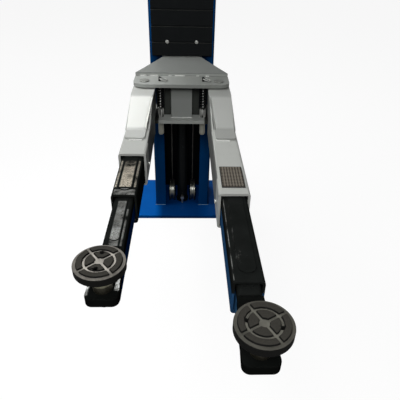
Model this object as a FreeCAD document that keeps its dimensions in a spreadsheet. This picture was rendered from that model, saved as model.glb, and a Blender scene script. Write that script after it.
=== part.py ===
import FreeCAD, Part
import math
import os
import Sketcher

# One post of a two post car lift, standing on its base plate.
# X runs across the post, Y runs away from the arms, Z is up, all in millimetres.
# The origin lies on the underside of the base plate, in line with the front of the post's lips.

SIZES = {
    # base plate
    "base_width": 620,
    "base_front": 117,
    "base_back": 300,
    "base_thick": 20,
    "anchor_hole": 24,
    "anchor_inset": 34,
    # post
    "post_width": 320,
    "post_depth": 240,
    "post_wall": 6,
    "post_opening": 200,
    "post_bend": 14,
    "post_top": 2800,
    "cap_thick": 8,
    "gusset_height": 140,
    "gusset_reach": 46,
    "gusset_thick": 10,
    "gusset_inset": 60,
    # hydraulic cylinder
    "barrel_radius": 30,
    "barrel_wall": 5,
    "barrel_y": 70,
    "foot_radius": 37,
    "foot_thick": 14,
    "gland_height": 30,
    "rod_radius": 18,
    "rod_guide": 79,
    "ram_down": 286,
    "ram_up": 601,
    "fork_clear": 9,
    "fork_drop": 70,
    "fitting_radius": 10,
    "fitting_height": 38,
    "fitting_reach": 24,
    "neck_radius": 6,
    "neck_inset": 9,
    # chain drive on the piston rod
    "wheel_radius": 40,
    "wheel_width": 20,
    "wheel_above": 25,
    "chain_thick": 10,
    "chain_width": 18,
    "cheek_thick": 6,
    "cheek_depth": 40,
    "axle_radius": 8,
    "chain_anchor_rise": 50,
    "chain_anchor_tall": 60,
    "chain_lug_top": 165,
    "chain_lug_thick": 24,
    # sheaves of the levelling cables
    "sheave_radius": 62,
    "sheave_width": 26,
    "sheave_x": 62,
    "sheave_y": 72,
    "sheave_height": 88,
    "sheave_groove": 10,
    "sheave_pin": 10,
    "bracket_thick": 6,
    "bracket_depth": 40,
    "cable_radius": 4.5,
    # carriage
    "carriage_below": 35,
    "carriage_above": 602,
    "carriage_wall": 8,
    "carriage_back": 200,
    "slot_gap": 5,
    "guide_bar_width": 40,
    "guide_bar_depth": 20,
    "guide_bar_y": 20,
    "cross_plate_y": 150,
    "cross_plate_rise": 120,
    "block_height": 120,
    "block_gap": 0.5,
    "block_chamfer": 10,
    "rear_block_width": 60,
    # yoke that carries the arms
    "yoke_half_width": 222,
    "yoke_front": 261,
    "yoke_thick": 16,
    "yoke_top": 848,
    "yoke_gap": 157,
    "yoke_corner": 50,
    "slope_front": 125,
    "slope_thick": 14,
    "slope_rise": 64,
    "box_half_width": 50,
    "box_inset": 38,
    "recess_inset": 75,
    # arm pins
    "pin_radius": 19,
    "pin_clear": 0.1,
    "pin_head_radius": 22,
    "pin_head": 5,
    "pin_tail": 22,
    # door guard
    "guard_half_width": 147,
    "guard_thick": 12,
    "guard_rise": 3,
    "guard_height": 457,
    "guard_groove_first": 61,
    "guard_groove_pitch": 73,
    "guard_groove_depth": 3,
    "guard_groove_height": 6,
    # arm locks
    "mesh_gap": 1,
    "lock_back": 5,
    "lock_rod_radius": 6,
    "eye_rise": 12,
    "eye_radius": 3.5,
    "lock_gear_radius": 14,
    "lock_gear_height": 38,
    "lock_tooth": 1,
    "lock_foot_radius": 13.5,
    "lock_foot_drop": 81,
    "lock_clear": 0.5,
    "spring_radius": 10.5,
    "spring_wire": 2,
    "spring_play": 0.3,
    "housing_half": 18.5,
    "housing_plate": 2.5,
    "ring_radius": 17,
    "ring_wire": 2.5,
    "ring_play": 0.5,
    # arm root and outer tube
    "arm_width": 100,
    "arm_wall": 8,
    "arm_height": 130,
    "arm_play": 5,
    "tube_step": 56,
    "tube_corner": 10,
    "cover_thick": 8,
    "tube_start": 325,
    "bend_one": 342,
    "slope_length": 233,
    "cover_flat": 85,
    "cover_width_end": 78,
    "cover_corner": 14,
    "hub_radius": 30,
    "hub_gap": 0.5,
    "gear_proud": 1.5,
    "gear_tooth": 3.5,
    "gear_height": 24,
    # telescopic stages
    "slide_gap": 0.5,
    "mid_width": 80,
    "mid_height": 106,
    "mid_wall": 7,
    "mid_rib_width": 46,
    "mid_rib_thick": 4,
    "mid_rib_back": 30,
    "inner_width": 60,
    "inner_height": 86,
    "inner_wall": 6,
    "inner_rib_width": 30,
    "inner_rib_thick": 3,
    "inner_rib_back": 22,
    "left_outer_length": 457,
    "left_mid_length": 404,
    "left_mid_inside": 152,
    "left_inner_inside": 154,
    "left_pad_ahead": 380,
    "right_outer_length": 723,
    "right_mid_length": 543,
    "right_mid_inside": 178,
    "right_inner_inside": 450,
    "right_pad_ahead": 178,
    # pad holder, screw and pad
    "holder_width": 80,
    "holder_behind": 150,
    "holder_ahead": 38,
    "holder_rise": 58,
    "holder_thick": 26,
    "holder_corner": 18,
    "tongue_behind": 32,
    "screw_radius": 15,
    "screw_clear": 0.2,
    "stem_below": 24,
    "collar_radius": 23,
    "flange_radius": 42,
    "flange_thick": 6,
    "pad_radius": 60,
    "pad_thick": 25,
    "pad_rise": 85,
    "pad_gap": 0.3,
    "pad_channel": 7,
    "pad_channel_depth": 5,
    "pad_ring_inner": 32,
    "pad_ring_outer": 38,
    "pad_centre": 11,
    "pad_ledge": 8,
    "pad_screw_radius": 4.5,
    "left_pad_screw": 26,
    "right_pad_screw": 35,
    # grip patch on the longer arm
    "patch_width": 75,
    "patch_length": 133,
    "patch_thick": 4,
    "patch_from_end": 36,
}

ARM_TEETH = 36
LOCK_TEETH = 14
GUARD_GROOVES = 6
SPRING_TURNS = 8.75
TURN_STEPS = 12
WIRE_SIDES = 6
PAD_TURN = {"left": 39, "right": 119}

doc = FreeCAD.newDocument("car_lift_post")
sheet = doc.addObject("Spreadsheet::Sheet", "Sizes")
for row, (alias, number) in enumerate(SIZES.items(), start=1):
    sheet.set(f"A{row}", alias)
    sheet.set(f"B{row}", str(number))
    sheet.setAlias(f"B{row}", alias)
doc.recompute()


class Length:
    """A length in millimetres together with the sheet formula that gives it."""

    def __init__(self, value, formula):
        self.value = value
        self.formula = formula

    def joined(self, sign, other, value):
        return Length(value, f"({self.formula} {sign} {as_length(other).formula})")

    def __add__(self, other):
        return self.joined("+", other, self.value + as_length(other).value)

    def __radd__(self, other):
        return as_length(other) + self

    def __sub__(self, other):
        return self.joined("-", other, self.value - as_length(other).value)

    def __rsub__(self, other):
        return as_length(other) - self

    def __mul__(self, other):
        return self.joined("*", other, self.value * as_length(other).value)

    def __rmul__(self, other):
        return self * other

    def __truediv__(self, other):
        return self.joined("/", other, self.value / as_length(other).value)

    def __neg__(self):
        return self * -1


def as_length(value):
    return value if isinstance(value, Length) else Length(value, f"({value})")


class Sheet:
    """Gives each size of the sheet as a Length, by its name."""

    def __getattr__(self, alias):
        return Length(float(SIZES[alias]), f"Sizes.{alias}")


size = Sheet()
nodes = []


def bind(thing, path, length):
    """Ties one property of an object to the sheet."""
    thing.setExpression(path, as_length(length).formula)


def keep(thing, label):
    """Names a finished sub-part and puts it on the list of files."""
    thing.Label = label
    nodes.append(thing)
    return thing


def named(kind, name):
    return doc.addObject(kind, name)


# Turns that stand a primitive's own Z along X, along Y or along Z.
TURNS = {
    "X": FreeCAD.Rotation(FreeCAD.Vector(0, 1, 0), 90),
    "Y": FreeCAD.Rotation(FreeCAD.Vector(1, 0, 0), -90),
    "Z": FreeCAD.Rotation(),
}


def place(thing, x, y, z, along="Z"):
    thing.Placement = FreeCAD.Placement(FreeCAD.Vector(), TURNS[along])
    for letter, length in zip("xyz", (x, y, z)):
        bind(thing, f"Placement.Base.{letter}", length)


def block(name, x, y, z):
    """A box between the low and high value given for each direction."""
    box = named("Part::Box", name)
    for edge, (low, high) in zip(("Length", "Width", "Height"), (x, y, z)):
        bind(box, edge, as_length(high) - low)
    place(box, x[0], y[0], z[0])
    return box


def rod(name, radius, start, length, along="Z"):
    """A round bar from a start point along one of the three directions."""
    bar = named("Part::Cylinder", name)
    bind(bar, "Radius", radius)
    bind(bar, "Height", length)
    place(bar, *start, along)
    return bar


def fuse(name, *pieces):
    joined = named("Part::MultiFuse", name)
    joined.Shapes = list(pieces)
    joined.Refine = True
    return joined


def cut(name, base, *tools):
    tool = tools[0]
    if len(tools) > 1:
        tool = fuse(name + "_tools", *tools)
    left = named("Part::Cut", name)
    left.Base = base
    left.Tool = tool
    left.Refine = True
    return left


def common(name, *pieces):
    shared = named("Part::MultiCommon", name)
    shared.Shapes = list(pieces)
    shared.Refine = True
    return shared


def group(name, *pieces):
    """Several solids of one sub-part that don't touch each other."""
    bundle = named("Part::Compound", name)
    bundle.Links = list(pieces)
    return bundle


def mirror(name, source):
    """The same piece on the other side of the post's middle plane."""
    image = named("Part::Mirroring", name)
    image.Source = source
    image.Base = FreeCAD.Vector(0, 0, 0)
    image.Normal = FreeCAD.Vector(1, 0, 0)
    return image


def origin_plane(body, role):
    return next(item for item in body.Origin.OriginFeatures if item.Role == role)


def sketch_on(body, role, height):
    """An empty sketch on one of the body's planes, moved along its normal."""
    sketch = body.newObject("Sketcher::SketchObject", body.Name + "_sketch")
    sketch.AttachmentSupport = (origin_plane(body, role), [""])
    sketch.MapMode = "FlatFace"
    bind(sketch, "AttachmentOffset.Base.z", height)
    return sketch


def pin_point(sketch, geometry, corner, x, y):
    """Holds one point of a sketch at its place from the sketch's origin."""
    for kind, length in (("DistanceX", x), ("DistanceY", y)):
        number = sketch.addConstraint(
            Sketcher.Constraint(kind, -1, 1, geometry, corner, as_length(length).value)
        )
        bind(sketch, f"Constraints[{number}]", length)


def draw_outline(sketch, points):
    """A closed outline of straight runs, each corner tied to the sheet."""
    spots = [FreeCAD.Vector(as_length(x).value, as_length(y).value, 0) for x, y in points]
    first = sketch.GeometryCount
    for start, end in zip(spots, spots[1:] + spots[:1]):
        sketch.addGeometry(Part.LineSegment(start, end), False)
    for index, (x, y) in enumerate(points):
        before = first + (index - 1) % len(points)
        sketch.addConstraint(Sketcher.Constraint("Coincident", before, 2, first + index, 1))
        pin_point(sketch, first + index, 1, x, y)


def draw_circle(sketch, x, y, radius):
    centre = FreeCAD.Vector(as_length(x).value, as_length(y).value, 0)
    value = as_length(radius).value
    ring = sketch.addGeometry(Part.Circle(centre, FreeCAD.Vector(0, 0, 1), value), False)
    pin_point(sketch, ring, 3, x, y)
    number = sketch.addConstraint(Sketcher.Constraint("Radius", ring, value))
    bind(sketch, f"Constraints[{number}]", radius)


def pad(body, sketch, depth):
    feature = body.newObject("PartDesign::Pad", body.Name + "_pad")
    feature.Profile = sketch
    bind(feature, "Length", depth)
    return feature


def plate(name, role, start, depth, points, holes=()):
    """A flat piece: an outline with round holes, given thickness along the plane's normal."""
    body = named("PartDesign::Body", name)
    sketch = sketch_on(body, role, start)
    draw_outline(sketch, points)
    for x, y, radius in holes:
        draw_circle(sketch, x, y, radius)
    pad(body, sketch, depth)
    doc.recompute()
    return body


def round_edges(body, radius, wanted):
    """Fillets those straight edges of the body for which wanted(start, end) is true."""
    base = body.Tip
    names = []
    for number, edge in enumerate(base.Shape.Edges, start=1):
        if len(edge.Vertexes) == 2 and wanted(edge.Vertexes[0].Point, edge.Vertexes[1].Point):
            names.append(f"Edge{number}")
    feature = body.newObject("PartDesign::Fillet", body.Name + "_fillet")
    feature.Base = (base, names)
    bind(feature, "Radius", radius)
    body.Tip = feature
    doc.recompute()
    return feature


def upright(start, end):
    return abs(start.x - end.x) < 0.01 and abs(start.y - end.y) < 0.01


# Heights and places that follow from the yoke, which carries the arms.

yoke_bottom_of_top = size.yoke_top - size.yoke_thick
yoke_low_top = yoke_bottom_of_top - size.yoke_gap
yoke_low_face = yoke_low_top - size.yoke_thick
carriage_low = yoke_low_top - size.carriage_below
carriage_high = size.yoke_top + size.carriage_above
slope_rear_top = size.yoke_top + size.slope_rise
pin_x = size.yoke_half_width - size.yoke_corner
pin_y = size.yoke_front - size.yoke_corner
box_front = size.yoke_front - size.box_inset
recess_front = size.yoke_front - size.recess_inset
half_arm = size.arm_width / 2
gear_radius = half_arm + size.gear_proud
gear_reach = gear_radius + size.gear_tooth
lock_reach = size.lock_gear_radius + size.lock_tooth
lock_x = pin_x - gear_reach - lock_reach - size.mesh_gap
lock_y = pin_y - size.lock_back

# Heights of the lifting gear, from the wheel above the carriage down to the cylinder.

wheel_height = carriage_high + size.wheel_above
rod_top = wheel_height - size.fork_drop
barrel_top = rod_top - size.ram_down - size.fork_clear - size.gland_height
rod_low = barrel_top - size.ram_up - size.rod_guide

# Base plate with its six anchor holes.

half_base = size.base_width / 2
anchor_x = half_base - size.anchor_inset
anchor_front = size.anchor_inset - size.base_front
anchor_back = size.base_back - size.anchor_inset
anchor_rows = (anchor_front, (anchor_front + anchor_back) / 2, anchor_back)
anchor_holes = [
    (side * anchor_x, y, size.anchor_hole / 2) for side in (-1, 1) for y in anchor_rows
]
base_plate = plate(
    "base_plate_body", "XY_Plane", 0, size.base_thick,
    [(-half_base, -size.base_front), (half_base, -size.base_front),
     (half_base, size.base_back), (-half_base, size.base_back)],
    anchor_holes,
)
keep(base_plate, "base_plate")

# Post: one sheet folded into a channel whose two lips face the arms.

half_post = size.post_width / 2
half_opening = size.post_opening / 2
inside = half_post - size.post_wall
inner_back = size.post_depth - size.post_wall
channel_height = size.post_top - size.cap_thick - size.base_thick
column = plate(
    "column_body", "XY_Plane", size.base_thick, channel_height,
    [(-half_opening, 0), (-half_post, 0), (-half_post, size.post_depth),
     (half_post, size.post_depth), (half_post, 0), (half_opening, 0),
     (half_opening, size.post_wall), (inside, size.post_wall), (inside, inner_back),
     (-inside, inner_back), (-inside, size.post_wall), (-half_opening, size.post_wall)],
)


def outer_corner(start, end):
    return upright(start, end) and abs(abs(start.x) - half_post.value) < 0.01


def inner_corner(start, end):
    return upright(start, end) and abs(abs(start.x) - inside.value) < 0.01


round_edges(column, size.post_bend, outer_corner)
round_edges(column, size.post_bend - size.post_wall, inner_corner)
keep(column, "column_channel")

cap = plate(
    "cap_body", "XY_Plane", size.post_top - size.cap_thick, size.cap_thick,
    [(-half_post, 0), (half_post, 0), (half_post, size.post_depth), (-half_post, size.post_depth)],
)
round_edges(cap, size.post_bend, upright)
keep(cap, "column_cap")

# Gussets between the back of the post and the base plate.


def gusset(name, middle):
    return plate(
        name, "YZ_Plane", middle - size.gusset_thick / 2, size.gusset_thick,
        [(size.post_depth, size.base_thick), (size.post_depth + size.gusset_reach, size.base_thick),
         (size.post_depth + size.gusset_reach, size.base_thick + size.gusset_thick * 2),
         (size.post_depth, size.base_thick + size.gusset_height)],
    )


gusset_x = half_post - size.gusset_inset
gussets = group(
    "gussets",
    gusset("gusset_left", -gusset_x),
    gusset("gusset_right", gusset_x),
)
keep(gussets, "column_gussets")

# Hydraulic cylinder: foot, barrel and gland, all on one axis.

barrel_start = size.base_thick + size.foot_thick
barrel_outside = fuse(
    "barrel_outside",
    rod("barrel_foot", size.foot_radius, (0, size.barrel_y, size.base_thick), size.foot_thick),
    rod("barrel_tube", size.barrel_radius, (0, size.barrel_y, barrel_start),
        barrel_top - barrel_start),
    rod("barrel_gland", size.barrel_radius + size.barrel_wall / 2,
        (0, size.barrel_y, barrel_top), size.gland_height),
)
barrel = cut(
    "barrel_hollow", barrel_outside,
    rod("barrel_bore", size.barrel_radius - size.barrel_wall,
        (0, size.barrel_y, barrel_start), barrel_top - barrel_start),
    rod("gland_bore", size.rod_radius + size.pin_clear,
        (0, size.barrel_y, barrel_start), barrel_top + size.gland_height - barrel_start),
)
keep(barrel, "cylinder_barrel")

# Hose union at the front of the cylinder's foot: a banjo with a short upright neck.

union_z = size.base_thick + size.fitting_height
union_front = size.barrel_y - size.barrel_radius - size.fitting_reach
union = cut(
    "union",
    fuse(
        "union_outside",
        rod("union_nut", size.fitting_radius, (0, union_front, union_z),
            size.fitting_reach + size.barrel_wall, "Y"),
        rod("union_neck", size.neck_radius, (0, union_front + size.neck_inset, size.base_thick),
            size.fitting_height),
    ),
    rod("union_seat", size.barrel_radius + size.pin_clear,
        (0, size.barrel_y, size.base_thick), size.fitting_height * 2),
)
keep(union, "oil_union")

# Piston rod with the fork that holds the chain wheel.

cheek_inner = size.wheel_width / 2 + size.cheek_thick / 3
fork_low = rod_top
fork_high = wheel_height + size.axle_radius * 2
fork_y = (size.barrel_y - size.cheek_depth / 2, size.barrel_y + size.cheek_depth / 2)
cheeks = [
    block(f"cheek_{side}", x, fork_y, (fork_low, fork_high))
    for side, x in (("left", (-cheek_inner - size.cheek_thick, -cheek_inner)),
                    ("right", (cheek_inner, cheek_inner + size.cheek_thick)))
]
fork_half = cheek_inner + size.cheek_thick
piston = fuse(
    "piston",
    rod("piston_bar", size.rod_radius, (0, size.barrel_y, rod_low),
        rod_top - rod_low),
    block("fork_base", (-fork_half, fork_half), fork_y,
          (fork_low, fork_low + size.cheek_thick * 2)),
    rod("fork_axle", size.axle_radius, (-fork_half, size.barrel_y, wheel_height),
        fork_half * 2, "X"),
    *cheeks,
)
keep(piston, "piston_rod")

wheel = cut(
    "wheel",
    rod("wheel_disc", size.wheel_radius - size.pin_clear,
        (-size.wheel_width / 2, size.barrel_y, wheel_height), size.wheel_width, "X"),
    rod("wheel_bore", size.axle_radius + size.pin_clear,
        (-size.wheel_width, size.barrel_y, wheel_height), size.wheel_width * 2, "X"),
)
keep(wheel, "chain_wheel")

# Leaf chain: half a loop over the wheel, and a run down in front to the carriage's anchor bar.

chain_outer = size.wheel_radius + size.chain_thick
chain_x = (-size.chain_width / 2, size.chain_width / 2)
chain_loop = cut(
    "chain_loop",
    rod("chain_loop_outside", chain_outer, (chain_x[0], size.barrel_y, wheel_height),
        size.chain_width, "X"),
    rod("chain_loop_inside", size.wheel_radius,
        (-size.chain_width, size.barrel_y, wheel_height), size.chain_width * 2, "X"),
    block("chain_loop_lower", (-size.chain_width, size.chain_width),
          (size.barrel_y - chain_outer * 2, size.barrel_y + chain_outer * 2),
          (wheel_height - chain_outer * 2, wheel_height)),
)
keep(chain_loop, "lift_chain")

front_run_y = (size.barrel_y - chain_outer, size.barrel_y - size.wheel_radius)
anchor_low = carriage_low + size.chain_anchor_rise
anchor_z = (anchor_low, anchor_low + size.chain_anchor_tall)
chain_front = block("chain_front", chain_x, front_run_y, (anchor_z[1], wheel_height))
keep(chain_front, "chain_front_run")

# The other run of the chain goes down behind the cylinder to its lug on the base plate.

rear_run_y = (size.barrel_y + size.wheel_radius, size.barrel_y + chain_outer)
chain_fixed = block("chain_fixed", chain_x, rear_run_y,
                    (size.chain_lug_top, wheel_height))
keep(chain_fixed, "chain_fixed_run")

# Levelling cables: two sheaves at the foot, their brackets, and the cables up to the cap.


def sheave(name, middle):
    """A grooved wheel turned about its own axis, which lies along X."""
    body = named("PartDesign::Body", name)
    sketch = sketch_on(body, "XZ_Plane", -size.sheave_y)
    half = size.sheave_width / 2
    draw_outline(sketch, [
        (middle - half, size.sheave_height + size.sheave_pin + size.pin_clear),
        (middle + half, size.sheave_height + size.sheave_pin + size.pin_clear),
        (middle + half, size.sheave_height + size.sheave_radius),
        (middle + half * 0.65, size.sheave_height + size.sheave_radius),
        (middle + half * 0.42, size.sheave_height + size.sheave_radius - size.sheave_groove),
        (middle - half * 0.42, size.sheave_height + size.sheave_radius - size.sheave_groove),
        (middle - half * 0.65, size.sheave_height + size.sheave_radius),
        (middle - half, size.sheave_height + size.sheave_radius),
    ])
    axis = sketch.addGeometry(
        Part.LineSegment(
            FreeCAD.Vector(middle.value - half.value, size.sheave_height.value, 0),
            FreeCAD.Vector(middle.value + half.value, size.sheave_height.value, 0),
        ),
        True,
    )
    pin_point(sketch, axis, 1, middle - half, size.sheave_height)
    pin_point(sketch, axis, 2, middle + half, size.sheave_height)
    turned = body.newObject("PartDesign::Revolution", name + "_turned")
    turned.Profile = sketch
    turned.ReferenceAxis = (sketch, ["Axis0"])
    turned.Angle = 360
    doc.recompute()
    return body


keep(sheave("sheave_left_body", -size.sheave_x), "base_sheave_left")
keep(sheave("sheave_right_body", size.sheave_x), "base_sheave_right")


def sheave_bracket(side, sign):
    """Two upright cheeks with the sheave's pin between them."""
    half = size.sheave_width / 2 + size.slide_gap
    bracket_y = (size.sheave_y - size.bracket_depth / 2, size.sheave_y + size.bracket_depth / 2)
    bracket_z = (size.base_thick, size.sheave_height + size.sheave_pin * 2)
    middle = sign * size.sheave_x
    return fuse(
        f"bracket_{side}",
        block(f"bracket_{side}_a", (middle - half - size.bracket_thick, middle - half),
              bracket_y, bracket_z),
        block(f"bracket_{side}_b", (middle + half, middle + half + size.bracket_thick),
              bracket_y, bracket_z),
        rod(f"bracket_{side}_pin", size.sheave_pin,
            (middle - half - size.bracket_thick, size.sheave_y, size.sheave_height),
            (half + size.bracket_thick) * 2, "X"),
    )


chain_lug = block(
    "chain_lug", (-size.chain_width, size.chain_width),
    (rear_run_y[0], rear_run_y[1] + size.chain_lug_thick),
    (size.base_thick, size.chain_lug_top),
)
brackets = group("brackets", sheave_bracket("left", -1), sheave_bracket("right", 1), chain_lug)
keep(brackets, "sheave_brackets")


def cable(side, sign):
    """A wire rope under its sheave and straight up behind it to the cap."""
    groove = size.sheave_radius - size.sheave_groove + size.slide_gap
    reach = groove + size.cable_radius * 2
    middle = sign * size.sheave_x
    width = size.cable_radius
    under = cut(
        f"cable_{side}_under",
        rod(f"cable_{side}_ring", reach, (middle - width, size.sheave_y, size.sheave_height),
            width * 2, "X"),
        rod(f"cable_{side}_core", groove,
            (middle - width * 2, size.sheave_y, size.sheave_height), width * 4, "X"),
        block(f"cable_{side}_above", (middle - width * 2, middle + width * 2),
              (size.sheave_y - reach * 2, size.sheave_y + reach * 2),
              (size.sheave_height, size.sheave_height + reach * 2)),
        block(f"cable_{side}_ahead", (middle - width * 2, middle + width * 2),
              (size.sheave_y - reach * 2, size.sheave_y),
              (size.sheave_height - reach * 2, size.sheave_height + reach)),
    )
    rise = rod(f"cable_{side}_rise", size.cable_radius,
               (middle, size.sheave_y + groove + width, size.sheave_height),
               size.post_top - size.cap_thick - size.sheave_height)
    return fuse(f"cable_{side}", under, rise)


keep(group("cables", cable("left", -1), cable("right", 1)), "levelling_cables")

# Carriage: two side plates that pass through the slot, with guide bars behind the lips.

outer_face = half_opening - size.slot_gap
inner_face = outer_face - size.carriage_wall
front_clear = -size.slot_gap


def carriage_side(name, start):
    return plate(
        name, "YZ_Plane", start, size.carriage_wall,
        [(size.carriage_back, carriage_low), (size.carriage_back, carriage_high),
         (front_clear, carriage_high), (front_clear, yoke_bottom_of_top),
         (size.carriage_wall - recess_front, yoke_bottom_of_top),
         (size.carriage_wall - recess_front, yoke_low_top),
         (front_clear, yoke_low_top), (front_clear, carriage_low)],
    )


bar_y = (size.guide_bar_y, size.guide_bar_y + size.guide_bar_depth)
carriage_z = (carriage_low, carriage_high)
frame = fuse(
    "frame",
    carriage_side("side_left", -outer_face),
    carriage_side("side_right", inner_face),
    block("bar_left", (-outer_face - size.guide_bar_width, -outer_face), bar_y, carriage_z),
    block("bar_right", (outer_face, outer_face + size.guide_bar_width), bar_y, carriage_z),
    block("front_plate", (-inner_face, inner_face),
          (front_clear, front_clear + size.carriage_wall), carriage_z),
    block("cross_plate", (-inner_face, inner_face),
          (size.cross_plate_y, size.cross_plate_y + size.carriage_wall),
          (carriage_low + size.cross_plate_rise, carriage_high)),
    block("chain_anchor", (-size.chain_width, size.chain_width),
          (front_clear + size.carriage_wall, front_run_y[1]), anchor_z),
)
keep(frame, "carriage_frame")

# Slide blocks: an angle round each guide bar, and a flat block at the back, top and bottom.

block_front = size.post_wall + size.block_gap
block_side = inside - size.block_gap * 3
bar_side = outer_face + size.guide_bar_width
block_back = size.guide_bar_y + size.guide_bar_depth
rear_face = inner_back - size.block_gap
block_heights = (
    ("low", carriage_low + size.slot_gap),
    ("high", carriage_high - size.block_height - size.slot_gap),
)


def slide_block(level, low):
    """One angle block round the left guide bar."""
    return plate(
        f"block_left_{level}", "XY_Plane", low, size.block_height,
        [(-half_opening, block_front), (-block_side + size.block_chamfer, block_front),
         (-block_side, block_front + size.block_chamfer), (-block_side, block_back),
         (-bar_side, block_back), (-bar_side, size.guide_bar_y),
         (-half_opening, size.guide_bar_y)],
    )


slides = []
for level, low in block_heights:
    left_angle = slide_block(level, low)
    left_rear = block(
        f"rear_left_{level}",
        (-inner_face - size.rear_block_width / 2, -inner_face + size.rear_block_width / 2),
        (size.carriage_back, rear_face), (low, low + size.block_height),
    )
    slides += [left_angle, mirror(f"block_right_{level}", left_angle)]
    slides += [left_rear, mirror(f"rear_right_{level}", left_rear)]
keep(group("slides", *slides), "slide_blocks")

# Yoke: a top and a bottom plate of the same outline, with the arm pins between them.


def yoke_outline():
    width = size.yoke_half_width
    return [(-width, -size.yoke_front), (width, -size.yoke_front), (width, -size.slope_front),
            (outer_face, front_clear), (-outer_face, front_clear), (-width, -size.slope_front)]


def yoke_plate(name, start, lock_hole):
    holes = []
    for side in (-1, 1):
        holes.append((side * pin_x, -pin_y, size.pin_radius))
        holes.append((side * lock_x, -lock_y, lock_hole))
    body = plate(name, "XY_Plane", start, size.yoke_thick, yoke_outline(), holes)

    def front_corner(start, end):
        return upright(start, end) and abs(start.y + size.yoke_front.value) < 0.01

    round_edges(body, size.yoke_corner, front_corner)
    return body


keep(yoke_plate("yoke_top_body", yoke_bottom_of_top, size.lock_rod_radius + size.lock_clear),
     "yoke_top_plate")
keep(yoke_plate("yoke_low_body", yoke_low_face, size.lock_foot_radius + size.lock_clear),
     "yoke_bottom_plate")

# Slope plate that stiffens the top plate, wide in front and as narrow as the slot behind.

slope_profile = plate(
    "slope_profile", "YZ_Plane", -size.yoke_half_width, size.yoke_half_width * 2,
    [(-size.slope_front, size.yoke_top), (-size.slope_front, size.yoke_top + size.slope_thick),
     (front_clear, slope_rear_top), (front_clear, slope_rear_top - size.slope_thick)],
)
slope_plan = plate(
    "slope_plan", "XY_Plane", size.yoke_top, slope_rear_top - size.yoke_top,
    [(-size.yoke_half_width, -size.slope_front), (size.yoke_half_width, -size.slope_front),
     (inner_face, front_clear), (-inner_face, front_clear)],
)
keep(common("slope", slope_profile, slope_plan), "yoke_slope_plate")

# Core between the yoke plates: a shallow box in the middle on a recessed wall.

core_z = (yoke_low_top, yoke_bottom_of_top)
recess_y = (-recess_front, size.carriage_wall - recess_front)
core = fuse(
    "core",
    block("recess_wall", (-outer_face, outer_face), recess_y, core_z),
    block("box_front", (-size.box_half_width, size.box_half_width),
          (-box_front, size.carriage_wall - box_front), core_z),
    block("box_left", (-size.box_half_width, size.carriage_wall - size.box_half_width),
          (-box_front, -recess_front), core_z),
    block("box_right", (size.box_half_width - size.carriage_wall, size.box_half_width),
          (-box_front, -recess_front), core_z),
)
keep(core, "yoke_core")

# Arm pins with round heads, held in the two yoke plates.


def arm_pin(side, sign):
    centre = (sign * pin_x, -pin_y)
    pin_low = yoke_low_face - size.pin_tail
    return fuse(
        f"pin_{side}",
        rod(f"pin_{side}_bar", size.pin_radius, (*centre, pin_low), size.yoke_top - pin_low),
        rod(f"pin_{side}_head", size.pin_head_radius, (*centre, size.yoke_top), size.pin_head),
        rod(f"pin_{side}_nut", size.pin_head_radius, (*centre, pin_low + size.pin_head),
            size.pin_tail - size.pin_head),
    )


keep(group("pins", arm_pin("left", -1), arm_pin("right", 1)), "arm_pins")

# Door guard: a ribbed rubber panel that covers the carriage's front.

guard_y = (front_clear - size.guard_thick, front_clear)
guard_low = slope_rear_top + size.guard_rise
guard_panel = block("guard_panel", (-size.guard_half_width, size.guard_half_width), guard_y,
                    (guard_low, guard_low + size.guard_height))
guard_cuts = []
for index in range(GUARD_GROOVES):
    groove_z = guard_low + size.guard_groove_first + size.guard_groove_pitch * index
    guard_cuts.append(block(
        f"guard_groove_{index}", (-size.guard_half_width, size.guard_half_width),
        (guard_y[0], guard_y[0] + size.guard_groove_depth),
        (groove_z, groove_z + size.guard_groove_height),
    ))
keep(cut("guard", guard_panel, *guard_cuts), "door_guard")

# Lock housings: a black channel behind each spring, hung from the top plate.

housing_low = yoke_low_top + size.lock_gear_height
housing_y = (-lock_y, -recess_front)


def housing(side, sign):
    middle = sign * lock_x
    left = middle - size.housing_half
    right = middle + size.housing_half
    housing_z = (housing_low, yoke_bottom_of_top)
    return fuse(
        f"housing_{side}",
        block(f"housing_{side}_back", (left, right),
              (-recess_front - size.housing_plate, -recess_front), housing_z),
        block(f"housing_{side}_a", (left, left + size.housing_plate), housing_y, housing_z),
        block(f"housing_{side}_b", (right - size.housing_plate, right), housing_y, housing_z),
    )


keep(group("housings", housing("left", -1), housing("right", 1)), "lock_housings")


def toothed_ring(name, centre, low, height, root, tooth, count, bore):
    """A gear cut round a blank: one tooth on the rim, repeated about the axis."""
    x, y = centre
    body = named("PartDesign::Body", name)
    sketch = sketch_on(body, "XY_Plane", low)
    draw_circle(sketch, 0, 0, root)
    if bore is not None:
        draw_circle(sketch, 0, 0, bore)
    pad(body, sketch, height)
    doc.recompute()
    rim = body.newObject("Sketcher::SketchObject", name + "_tooth_sketch")
    rim.AttachmentSupport = (origin_plane(body, "XY_Plane"), [""])
    rim.MapMode = "FlatFace"
    bind(rim, "AttachmentOffset.Base.z", low)
    half_angle = math.pi / count
    foot = root * (0.55 * math.sin(half_angle))
    tip = foot * 0.5
    sunk = root - tooth / 2
    draw_outline(rim, [(sunk, -foot), (root + tooth, -tip), (root + tooth, tip), (sunk, foot)])
    single = body.newObject("PartDesign::Pad", name + "_tooth")
    single.Profile = rim
    bind(single, "Length", height)
    doc.recompute()
    pattern = body.newObject("PartDesign::PolarPattern", name + "_teeth")
    pattern.Originals = [single]
    pattern.Axis = (origin_plane(body, "Z_Axis"), [""])
    pattern.Angle = 360
    pattern.Occurrences = count
    body.Tip = pattern
    doc.recompute()
    place(body, x, y, 0)
    return body


# Arm locks: a rod with a toothed block, a rounded foot below the yoke and an eye above.

lock_foot_low = yoke_low_face - size.lock_foot_drop
gear_low = yoke_low_top + size.lock_clear
gear_top = gear_low + size.lock_gear_height


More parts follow.
